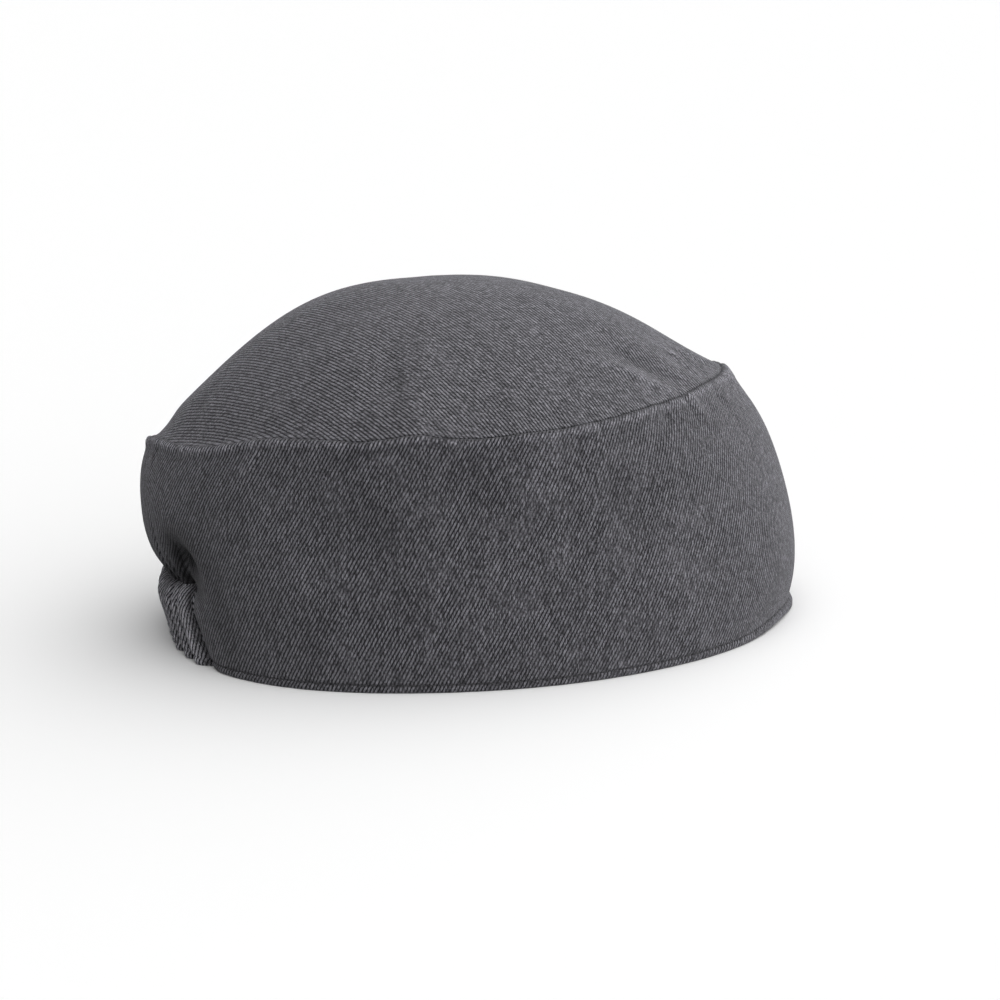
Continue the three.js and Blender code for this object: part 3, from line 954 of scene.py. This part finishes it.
def band_painted_light(s, angle, z):
    """The band's painted shade, as a share of the full painted shade: in the valleys, in the pinch
    above the casing and in the hollows beside it, in the crown seam's groove, and along the hem's
    stitches. Below nothing, on the rolled edge, it is a painted highlight; the dents add painted
    shade and the folds painted highlight."""
    above = z - s.casing_height
    # Painted shade in the pinch above the casing and in the hollows beside it.
    tuck = over_casing(s, angle, s.pinch_fade) * bell(above / (8 * MM)) * (above > 0)
    for at, height, half_width, half_height, most in SHADED:
        across = apart(angle, np.radians(at)) * s.rim_back / (half_width * MM)
        shade = most * bell(np.hypot(across, (z - height * MM) / (half_height * MM)))
        tuck = np.maximum(tuck, shade)
    gap = band_height(s, angle) - z
    deep = np.maximum(valleys(s, angle, z, 1) * 0.9, tuck)
    # Painted shade in the crown seam's groove and along the hem's stitch groove.
    deep = np.maximum(deep, bell(gap / SEAM_LINE))
    deep = np.maximum(deep, 0.6 * bell((z - s.stitch_height) / STITCH_LINE))
    # A painted highlight along the band's rolled edge below the crown seam.
    worn = bell((gap - HIGHLIGHT_AT) / HIGHLIGHT_HALF) * np.clip(0.9 + 0.5 * puckers(angle, 0), 0, 1.4)
    return deep - around(angle, *HIGHLIGHT_AROUND) * worn + painted_shading(band_dents(angle, z))


def crown_points(s):
    """The top panel's outer and inner grids, from its top out to the rolled edge, its map and
    its painted shade and highlight. The map has each spoke laid flat at its own length, turned as
    the cloth was cut."""
    angle = np.linspace(-np.pi, np.pi, CROWN_COLUMNS, endpoint=False)
    out = np.concatenate([np.linspace(0, 0.95, CROWN_ROWS), CROWN_EDGE_ROWS])
    outs, angles = np.meshgrid(out, angle)
    point = dome(s, angles, outs)
    normal = dome_normals(s, angles, outs)
    steps = np.linalg.norm(np.diff(point, axis=1), axis=-1)
    run = np.concatenate([np.zeros((len(angle), 1)), np.cumsum(steps, axis=1)], 1)
    gap = run[:, -1:] - run
    seam = seam_inward(s, angle)[:, None]
    turn_in = (1 - smooth(gap / CORNER_REACH))[..., None]
    inward = -normal * (1 - turn_in) + seam * turn_in
    half = s.cloth / 2
    left = rolled(gap, half)
    relief = crown_relief(s, angles, gap, point)
    middle = point + inward * (half - relief)[..., None]
    # The edge runs out into the band's cloth, further where it lies lower.
    reach = s.sewn_lap / 2 + s.crown_sink * around(angles, *SINK_AROUND)
    middle -= unit(seam * np.array([1, 1, 0])) * (reach * bell(gap / (1.2 * MM)))[..., None]
    inside = s.turning_step * turned_in(gap, s.seam_allowance)
    outer = middle - inward * (half * left)[..., None]
    inner = middle + inward * (half * left + inside * left)[..., None]
    spoke = point[:, -1, :2] - np.array([0, s.crown_top_back])
    flat = unit(spoke)[:, None] * run[..., None]
    t = bpy.context.scene.cap_cloth.crown_turn
    u = -(flat[..., 0] * np.cos(t) + flat[..., 1] * np.sin(t))
    v = flat[..., 1] * np.cos(t) - flat[..., 0] * np.sin(t)
    cloth = np.stack([u, v], -1)
    # Painted shade in the seam's groove and in the dents, and painted highlight on the folds.
    painted_light = bell(gap / SEAM_LINE) + painted_shading(crown_dents(point))
    return outer, inner, np.concatenate([cloth, cloth[:1]]), painted_light


def wrapped(s, cloth):
    """A ring's map, stretched a little so that a whole number of four-thread repeats goes round
    and the ribs meet where the map ends."""
    repeat = 4 * bpy.context.scene.cap_cloth.warp_pitch
    whole = np.round(cloth[-1, 0, 0] / repeat) * repeat
    return cloth * np.array([whole / cloth[-1, 0, 0], 1])


def stitch_row(s, inside):
    """Where the hem's stitches lie: centres an even distance apart along the band's face at the
    stitching's height, with the directions along, out of and across the cloth there."""
    first = s.casing_half * STITCHES_FROM
    angle = apart(np.linspace(first, 2 * np.pi - first, 4000), 0)
    z = np.full_like(angle, s.stitch_height)
    outer, inner = wall_grid(s, wall, angle, z, s.cloth / 2, band_sides, band_relief)
    line, facing = (inner, -1) if inside else (outer, 1)
    run = np.concatenate([[0], np.cumsum(np.linalg.norm(np.diff(line, axis=0), axis=-1))])
    count = int(run[-1] // s.stitch_pitch)
    at = (np.arange(count) + 0.5) * run[-1] / count

    def along(distance):
        return np.stack([np.interp(distance, run, line[:, k]) for k in range(3)], -1)

    tangent = unit(along(at + 0.3 * MM) - along(at - 0.3 * MM))
    across = unit(np.array([0.0, 0.0, 1.0]) - tangent * tangent[:, 2:])
    normal = np.cross(tangent, across)
    normal = normal * np.where((normal * along(at)).sum(-1) < 0, -1, 1)[:, None] * facing
    return along(at), tangent, normal, across


def stitch_points(s, inside):
    """Small rounded lozenges of thread: a circle carried along each stitch, whose radius falls
    to nothing at both ends as the root of one less the fourth power, and whose middle arches."""
    centre, tangent, normal, across = stitch_row(s, inside)
    rings = np.array([-1, -0.82, -0.4, 0.4, 0.82, 1])
    turns = np.linspace(0, 2 * np.pi, 6, endpoint=False)
    x, turn_round = np.meshgrid(rings, turns, indexing="ij")
    radius = s.thread / 2 * np.sqrt(np.maximum(1 - x**4, 0))
    arch = s.thread * (0.3 - 0.45 * x**2)
    along = (x * s.stitch_length / 2)[None, ..., None] * tangent[:, None, None]
    out = (arch + radius * np.cos(turn_round))[None, ..., None] * normal[:, None, None]
    up = (radius * np.sin(turn_round))[None, ..., None] * across[:, None, None]
    return centre[:, None, None] + along + out + up


def stitch_object(s, name):
    """Both rows of the hem's stitches, as one mesh of separate closed stitches."""
    points = np.concatenate([stitch_points(s, False), stitch_points(s, True)])
    count, rings, sides = points.shape[:3]
    ids = np.arange(count * rings * sides).reshape(count, rings, sides)
    ids[:, 0], ids[:, -1] = ids[:, 0, :1], ids[:, -1, :1]
    following = np.roll(ids, -1, 2)
    faces = np.stack([ids[:, :-1], ids[:, 1:], following[:, 1:], following[:, :-1]], -1)
    u, v = np.meshgrid(np.linspace(0, s.stitch_length, rings), np.arange(sides + 1), indexing="ij")
    v = v * np.pi * s.thread / sides
    grid = np.stack([u, v], -1)
    cell = np.stack([grid[:-1, :-1], grid[1:, :-1], grid[1:, 1:], grid[:-1, 1:]], -2)
    uvs = np.broadcast_to(cell, (count, *cell.shape))
    points = points.reshape(-1, 3)
    set_back(s, points)
    return mesh_object(name, points, faces.reshape(-1, 4), uvs.reshape(-1, 4, 2))


# Materials


class Graph:
    """Short ways to add nodes to a node tree. An input is a socket, a number or a tuple."""

    def __init__(self, tree):
        self.tree = tree

    def node(self, kind, settings=None, **inputs):
        """A node of a kind, with its settings, and its inputs by name."""
        made = self.tree.nodes.new(kind)
        for key, value in (settings or {}).items():
            setattr(made, key, value)
        for key, value in inputs.items():
            self.feed(made.inputs[key.replace("_", " ")], value)
        return made

    def feed(self, socket, value):
        """Links a socket to another one, or sets its value."""
        if isinstance(value, bpy.types.NodeSocket):
            self.tree.links.new(value, socket)
        else:
            socket.default_value = value

    def math(self, operation, *values):
        """One math node's value."""
        made = self.tree.nodes.new("ShaderNodeMath")
        made.operation = operation
        for socket, value in zip(made.inputs, values):
            self.feed(socket, value)
        return made.outputs[0]

    def hump(self, value):
        """1 - (2 * value - 1) squared: a hump over values from 0 to 1, and nothing past them."""
        centred = self.math("MULTIPLY_ADD", value, 2.0, -1.0)
        square = self.math("MULTIPLY", centred, centred)
        return self.math("MAXIMUM", self.math("SUBTRACT", 1.0, square), 0.0)

    def noise(self, place, scale, detail=2.0):
        """A soft noise from 0 to 1, with its scale in bumps for each metre."""
        made = self.node("ShaderNodeTexNoise", Vector=place, Scale=scale, Detail=detail)
        return made.outputs["Fac"]

    def vector(self, operation, first, second):
        """One vector math node's vector."""
        made = self.node("ShaderNodeVectorMath", {"operation": operation})
        self.feed(made.inputs[0], first)
        self.feed(made.inputs[1], second)
        return made.outputs[0]

    def grey(self, value):
        """The same value three times, as a colour."""
        return self.node("ShaderNodeCombineXYZ", X=value, Y=value, Z=value).outputs[0]

    def blend(self, factor, first, second, way="MIX"):
        """A mix of two colours."""
        made = self.tree.nodes.new("ShaderNodeMix")
        made.data_type = "RGBA"
        made.blend_type = way
        self.feed(made.inputs[0], factor)
        self.feed(made.inputs[6], first)
        self.feed(made.inputs[7], second)
        return made.outputs[2]


def new_group(name, inputs, outputs):
    """An empty shader node group with named inputs (name, kind, default) and outputs."""
    group = bpy.data.node_groups.new(name, "ShaderNodeTree")
    for title, kind, default in inputs:
        socket = group.interface.new_socket(name=title, in_out="INPUT", socket_type=kind)
        if default is not None:
            socket.default_value = default
    for title, kind in outputs:
        group.interface.new_socket(name=title, in_out="OUTPUT", socket_type=kind)
    graph = Graph(group)
    start = group.nodes.new("NodeGroupInput").outputs
    end = group.nodes.new("NodeGroupOutput").inputs
    return graph, start, end


def twill_group():
    """A steep twill. Threads of the warp run along V. Each passes over three threads of the weft
    and under the fourth, one step lower on every next thread, which draws the ribs. Threads vary
    in lightness one by one, and the whole cloth a little in soft patches. The ribs are clearer
    towards the back."""
    name = "Twill"
    if name in bpy.data.node_groups:
        return bpy.data.node_groups[name]
    g, start, end = new_group(
        name,
        [
            ("Cloth", "NodeSocketVector", None),
            ("Place", "NodeSocketVector", None),
            ("Warp Pitch", "NodeSocketFloat", 0.0003),
            ("Weft Pitch", "NodeSocketFloat", 0.00054),
            ("Float", "NodeSocketFloat", 0.72),
            ("Warp Colour", "NodeSocketColor", (0.2, 0.2, 0.2, 1)),
            ("Weft Colour", "NodeSocketColor", (0.04, 0.04, 0.04, 1)),
            ("Painted Light", "NodeSocketFloat", 0.0),
            ("Unevenness", "NodeSocketFloat", 0.8),
            ("Patches", "NodeSocketFloat", 0.2),
        ],
        [
            ("Colour", "NodeSocketColor"),
            ("Roughness", "NodeSocketFloat"),
            ("Height", "NodeSocketFloat"),
        ],
    )
    place = start["Place"]

    # The threads wander sideways by up to 0.3 mm.
    drift = g.math("MULTIPLY_ADD", g.noise(place, 130.0), 0.6 * MM, -0.3 * MM)
    drift = g.node("ShaderNodeCombineXYZ", X=drift).outputs[0]
    shifted = g.vector("ADD", start["Cloth"], drift)

    # Where on which thread a point lies, and how high the thread is there.
    split = g.node("ShaderNodeSeparateXYZ", Vector=shifted).outputs
    warp = g.math("DIVIDE", split["X"], start["Warp Pitch"])
    weft = g.math("DIVIDE", split["Y"], start["Weft Pitch"])
    thread = g.math("FLOOR", warp)
    across = g.hump(g.math("FRACT", warp))
    step = g.math("DIVIDE", g.math("ADD", weft, thread), 4.0)
    over = g.hump(g.math("DIVIDE", g.math("FRACT", step), start["Float"]))
    rise = g.math("MULTIPLY", g.math("POWER", across, 0.6), g.math("POWER", over, 0.5))
    under = g.math("MULTIPLY", g.hump(g.math("FRACT", weft)), 0.4)

    # Lightness, by each thread's chance and its slubs, then by broad and fine patches.
    one = g.node("ShaderNodeCombineXYZ", X=thread, Y=g.math("FLOOR", step)).outputs[0]
    chance = g.node("ShaderNodeTexWhiteNoise", {"noise_dimensions": "2D"}, Vector=one)
    slub = g.noise(g.vector("MULTIPLY", start["Cloth"], (2200.0, 700.0, 1.0)), 1.0)
    lone = g.math("ADD", chance.outputs["Value"], g.math("MULTIPLY", slub, 2.0))
    lone = g.math("SUBTRACT", lone, 1.5)
    light = g.math("MULTIPLY_ADD", lone, start["Unevenness"], 1.0)
    broad = g.math("SUBTRACT", g.noise(place, 55.0, 3.0), 0.5)
    fine = g.math("MULTIPLY_ADD", g.noise(place, 1500.0), 10.0, -5.0)
    patch = g.math("ADD", broad, fine)
    light = g.math("MULTIPLY", light, g.math("MULTIPLY_ADD", patch, start["Patches"], 1.0))

    # How clear the ribs are, by wear and from front to back.
    worn = {"From_Min": 0.36, "From_Max": 0.6, "To_Min": 0.65, "To_Max": 1.2}
    clear = g.node("ShaderNodeMapRange", Value=g.noise(place, 85.0), **worn).outputs[0]
    along = g.node("ShaderNodeSeparateXYZ", Vector=place).outputs["Y"]
    clear = g.math("MULTIPLY", clear, g.math("MULTIPLY_ADD", along, 3.0, 1.05))
    even = g.math("MULTIPLY_ADD", g.math("SUBTRACT", rise, 0.5), clear, 0.5)

    base = g.blend(g.math("MULTIPLY", even, light), start["Weft Colour"], start["Warp Colour"])
    woven = g.blend(0.6, base, g.blend(1.0, base, g.grey(light), "MULTIPLY"))
    # Painted shade darkens the colour, and painted highlight, below nothing, lightens it.
    keep = g.math("MULTIPLY_ADD", start["Painted Light"], -PAINTED_SHADE_LOSS, 1.0)
    g.feed(end["Colour"], g.blend(1.0, woven, g.grey(keep), "MULTIPLY"))
    g.feed(end["Roughness"], g.math("MULTIPLY_ADD", rise, -0.1, 0.95))
    g.feed(end["Height"], g.math("MAXIMUM", rise, under))
    return g.tree


def twill(name, warp, weft):
    """A twill material on the cloth's own map."""
    look = bpy.context.scene.cap_cloth
    material = bpy.data.materials.new(name)
    material.use_nodes = True
    material.diffuse_color = (*[(a + b) / 2 for a, b in zip(warp, weft)], 1)
    g = Graph(material.node_tree)
    shader = g.tree.nodes["Principled BSDF"]
    weave = g.tree.nodes.new("ShaderNodeGroup")
    weave.node_tree = twill_group()
    cloth = g.node("ShaderNodeUVMap", {"uv_map": "cloth"}).outputs["UV"]
    place = g.node("ShaderNodeTexCoord").outputs["Object"]
    # The painted shade and highlight, from the points' attribute.
    painted_light = g.node("ShaderNodeAttribute", {"attribute_name": "painted_light"}).outputs["Fac"]
    for key, value in {
        "Cloth": cloth,
        "Place": place,
        "Painted Light": painted_light,
        "Warp Pitch": look.warp_pitch,
        "Weft Pitch": look.weft_pitch,
        "Warp Colour": (*warp, 1),
        "Weft Colour": (*weft, 1),
    }.items():
        g.feed(weave.inputs[key], value)
    g.feed(shader.inputs["Base Color"], weave.outputs["Colour"])
    g.feed(shader.inputs["Roughness"], weave.outputs["Roughness"])
    bump = g.node("ShaderNodeBump", Strength=0.9, Distance=0.00018, Height=weave.outputs["Height"])
    g.feed(shader.inputs["Normal"], bump.outputs["Normal"])
    for key, value in {
        "Specular IOR Level": 0.25,
        "Sheen Weight": 0.35,
        "Sheen Roughness": 0.45,
        "Sheen Tint": (0.8, 0.8, 0.85, 1),
    }.items():
        shader.inputs[key].default_value = value
    return material


def thread_material():
    """Sewing thread: two plies wound round each other, as a sine on the stitch's own map that
    paints highlight on each ply and shade between them, under a little uneven wear."""
    look = bpy.context.scene.cap_cloth
    material = bpy.data.materials.new("sewing_thread")
    material.use_nodes = True
    material.diffuse_color = (*look.thread_colour, 1)
    g = Graph(material.node_tree)
    shader = g.tree.nodes["Principled BSDF"]
    uv = g.node("ShaderNodeUVMap", {"uv_map": "cloth"}).outputs["UV"]
    split = g.node("ShaderNodeSeparateXYZ", Vector=uv).outputs
    wind = g.math("MULTIPLY", g.math("ADD", split["X"], split["Y"]), 11000.0)
    ply = g.math("MULTIPLY_ADD", g.math("SINE", wind), 0.5, 0.5)
    place = g.node("ShaderNodeTexCoord").outputs["Object"]
    wear = g.noise(place, 900.0)
    light = tuple(min(1.0, v * 1.5) for v in look.thread_colour)
    dark = tuple(v * 0.45 for v in look.thread_colour)
    # Painted highlight on the plies' crests and painted shade between them, varied by wear.
    ply_highlight = g.math("MULTIPLY", ply, g.math("ADD", wear, 0.4))
    g.feed(shader.inputs["Base Color"], g.blend(ply_highlight, (*dark, 1), (*light, 1)))
    g.feed(shader.inputs["Roughness"], g.math("MULTIPLY_ADD", wear, 0.2, 0.6))
    bump = g.node("ShaderNodeBump", Strength=0.5, Distance=0.00006, Height=ply)
    g.feed(shader.inputs["Normal"], bump.outputs["Normal"])
    shader.inputs["Sheen Weight"].default_value = 0.2
    return material


# Operators


def direction(side, height):
    """The way out to a side, counted from the front, at an angle above the horizon."""
    level = np.cos(height)
    return Vector((np.sin(side) * level, -np.cos(side) * level, np.sin(height)))


class CAP_OT_crown(bpy.types.Operator):
    """Makes the domed top panel"""

    bl_idname = "cap.crown"
    bl_label = "Top Panel"

    def execute(self, context):
        s, look = shape(), context.scene.cap_cloth
        outer, inner, cloth, painted_light = crown_points(s)
        set_back(s, outer, inner)
        piece = shell("crown_cloth", outer, inner, cloth, painted_light, True, pole=True)
        material = twill("crown_twill_cloth", look.crown_warp, look.crown_weft)
        dress(piece, material, "crown_twill", "crown_top")
        return {"FINISHED"}


class CAP_OT_band(bpy.types.Operator):
    """Makes the side band"""

    bl_idname = "cap.band"
    bl_label = "Side Band"

    def execute(self, context):
        s, look = shape(), context.scene.cap_cloth
        outer, inner, plain, rolled_rows, kept, painted_light = band_points(s)
        cloth = wrapped(s, ring_map(plain, outer, rolled_rows, band_grain(s)))
        set_back(s, outer, inner)
        piece = shell("band_cloth", outer, inner, cloth, painted_light, True, kept)
        material = twill("band_twill_cloth", look.band_warp, look.band_weft)
        dress(piece, material, "band_twill", "side_band")
        return {"FINISHED"}


class CAP_OT_casing(bpy.types.Operator):
    """Makes the gathered casing at the centre back"""

    bl_idname = "cap.casing"
    bl_label = "Elastic Casing"

    def execute(self, context):
        s, look = shape(), context.scene.cap_cloth
        outer, inner, painted_light = casing_points(s)
        cloth = level_map(outer)
        set_back(s, outer, inner)
        piece = shell("casing_cloth", outer, inner, cloth, painted_light, False)
        material = twill("casing_twill_cloth", look.casing_warp, look.casing_weft)
        dress(piece, material, "casing_twill", "elastic_casing")
        return {"FINISHED"}


class CAP_OT_stitches(bpy.types.Operator):
    """Makes the hem's stitches, outside and inside"""

    bl_idname = "cap.stitches"
    bl_label = "Hem Stitches"

    def execute(self, context):
        piece = stitch_object(shape(), "hem_stitches")
        dress(piece, thread_material(), "band_twill")
        return {"FINISHED"}


class CAP_OT_stage(bpy.types.Operator):
    """Makes the pale floor, the soft light and the camera"""

    bl_idname = "cap.stage"
    bl_label = "Stage"

    def execute(self, context):
        stage = context.scene.cap_stage
        self.floor(stage)
        self.light(context, stage)
        self.camera(context, stage)
        context.scene.view_settings.view_transform = "Standard"
        return {"FINISHED"}

    def floor(self, stage):
        """A wide plane under the rim. It is pale to look at, throws less light back up at the cap
        than that, and glows a little where only the cap sees it."""
        half = stage.floor_size / 2
        mesh = bpy.data.meshes.new("floor")
        corners = [(-half, -half, 0), (half, -half, 0), (half, half, 0), (-half, half, 0)]
        mesh.from_pydata(corners, [], [(0, 1, 2, 3)])
        floor = bpy.data.objects.new("floor", mesh)
        bpy.context.scene.collection.objects.link(floor)
        material = bpy.data.materials.new("pale_floor")
        material.use_nodes = True
        tree = material.node_tree
        shader = tree.nodes["Principled BSDF"]
        shader.inputs["Roughness"].default_value = 0.9
        shader.inputs["Specular IOR Level"].default_value = 0.1
        g = Graph(tree)
        seen = g.node("ShaderNodeLightPath").outputs["Is Camera Ray"]
        pale, dim = (*stage.floor_colour, 1), (*[stage.floor_bounce] * 3, 1)
        g.feed(shader.inputs["Base Color"], g.blend(seen, dim, pale))
        shader.inputs["Emission Color"].default_value = (1, 1, 1, 1)
        unseen = g.math("SUBTRACT", 1, seen)
        g.feed(shader.inputs["Emission Strength"], g.math("MULTIPLY", unseen, stage.floor_glow))
        # Seen from below, it lets the view through to the cap's inside.
        through = g.node("ShaderNodeBsdfTransparent").outputs[0]
        below = g.node("ShaderNodeNewGeometry").outputs["Backfacing"]
        mix = g.node("ShaderNodeMixShader")
        g.feed(mix.inputs[0], below)
        g.feed(mix.inputs[1], shader.outputs[0])
        g.feed(mix.inputs[2], through)
        g.feed(tree.nodes["Material Output"].inputs["Surface"], mix.outputs[0])
        mesh.materials.append(material)

    def light(self, context, stage):
        """An even sky, and one soft light from above and in front."""
        world = bpy.data.worlds.new("studio")
        world.use_nodes = True
        sky = world.node_tree.nodes["Background"].inputs
        sky["Color"].default_value = (1, 1, 1, 1)
        sky["Strength"].default_value = stage.sky
        context.scene.world = world
        data = bpy.data.lights.new("soft_light", "SUN")
        data.energy = stage.key
        data.angle = stage.key_softness
        lamp = bpy.data.objects.new("soft_light", data)
        lamp.rotation_mode = "QUATERNION"
        towards = direction(stage.key_side, stage.key_height)
        lamp.rotation_quaternion = towards.to_track_quat("Z", "Y")
        context.scene.collection.objects.link(lamp)

    def camera(self, context, stage):
        """The camera stands off its aim by the distance, on the side and height given, and its
        picture leans by the roll."""
        data = bpy.data.cameras.new("camera")
        data.lens = stage.lens
        data.sensor_width = 36
        data.clip_start, data.clip_end = 0.05, 50
        a, r = stage.azimuth, stage.roll
        back = direction(a, stage.elevation)
        right = Vector((np.cos(a), np.sin(a), 0))
        up = back.cross(right)
        leaned = right * np.cos(r) - up * np.sin(r), up * np.cos(r) + right * np.sin(r)
        camera = bpy.data.objects.new("camera", data)
        turned = Matrix((leaned[0], leaned[1], back)).transposed().to_4x4()
        place = Vector((0, stage.aim_y, stage.aim_z)) + back * stage.distance
        camera.matrix_world = Matrix.Translation(place) @ turned
        context.scene.collection.objects.link(camera)
        context.scene.camera = camera


class CAP_PT_panel(bpy.types.Panel):
    """Lists the cap's pieces and its stage"""

    bl_idname = "CAP_PT_panel"
    bl_label = "Chef Skull Cap"
    bl_space_type = "VIEW_3D"
    bl_region_type = "UI"
    bl_category = "Cap"

    def draw(self, context):
        column = self.layout.column(align=True)
        for operator in OPERATORS:
            column.operator(operator.bl_idname)
        for group in ("cap_shape", "cap_cloth", "cap_stage"):
            box = self.layout.box()
            settings = getattr(context.scene, group)
            for key in settings.bl_rna.properties.keys():
                if key not in ("rna_type", "name"):
                    box.prop(settings, key)


SETTINGS = (("cap_shape", CapShape), ("cap_cloth", CapCloth), ("cap_stage", CapStage))
OPERATORS = (CAP_OT_crown, CAP_OT_band, CAP_OT_casing, CAP_OT_stitches, CAP_OT_stage)


def register():
    for name, group in SETTINGS:
        bpy.utils.register_class(group)
        setattr(bpy.types.Scene, name, PointerProperty(type=group))
    for made in (*OPERATORS, CAP_PT_panel):
        bpy.utils.register_class(made)


def unregister():
    for made in (CAP_PT_panel, *reversed(OPERATORS)):
        bpy.utils.unregister_class(made)
    for name, group in reversed(SETTINGS):
        delattr(bpy.types.Scene, name)
        bpy.utils.unregister_class(group)


def main():
    """Builds the cap and its stage."""
    register()
    bpy.ops.cap.crown()
    bpy.ops.cap.band()
    bpy.ops.cap.casing()
    bpy.ops.cap.stitches()
    bpy.ops.cap.stage()


if __name__ == "__main__":
    main()
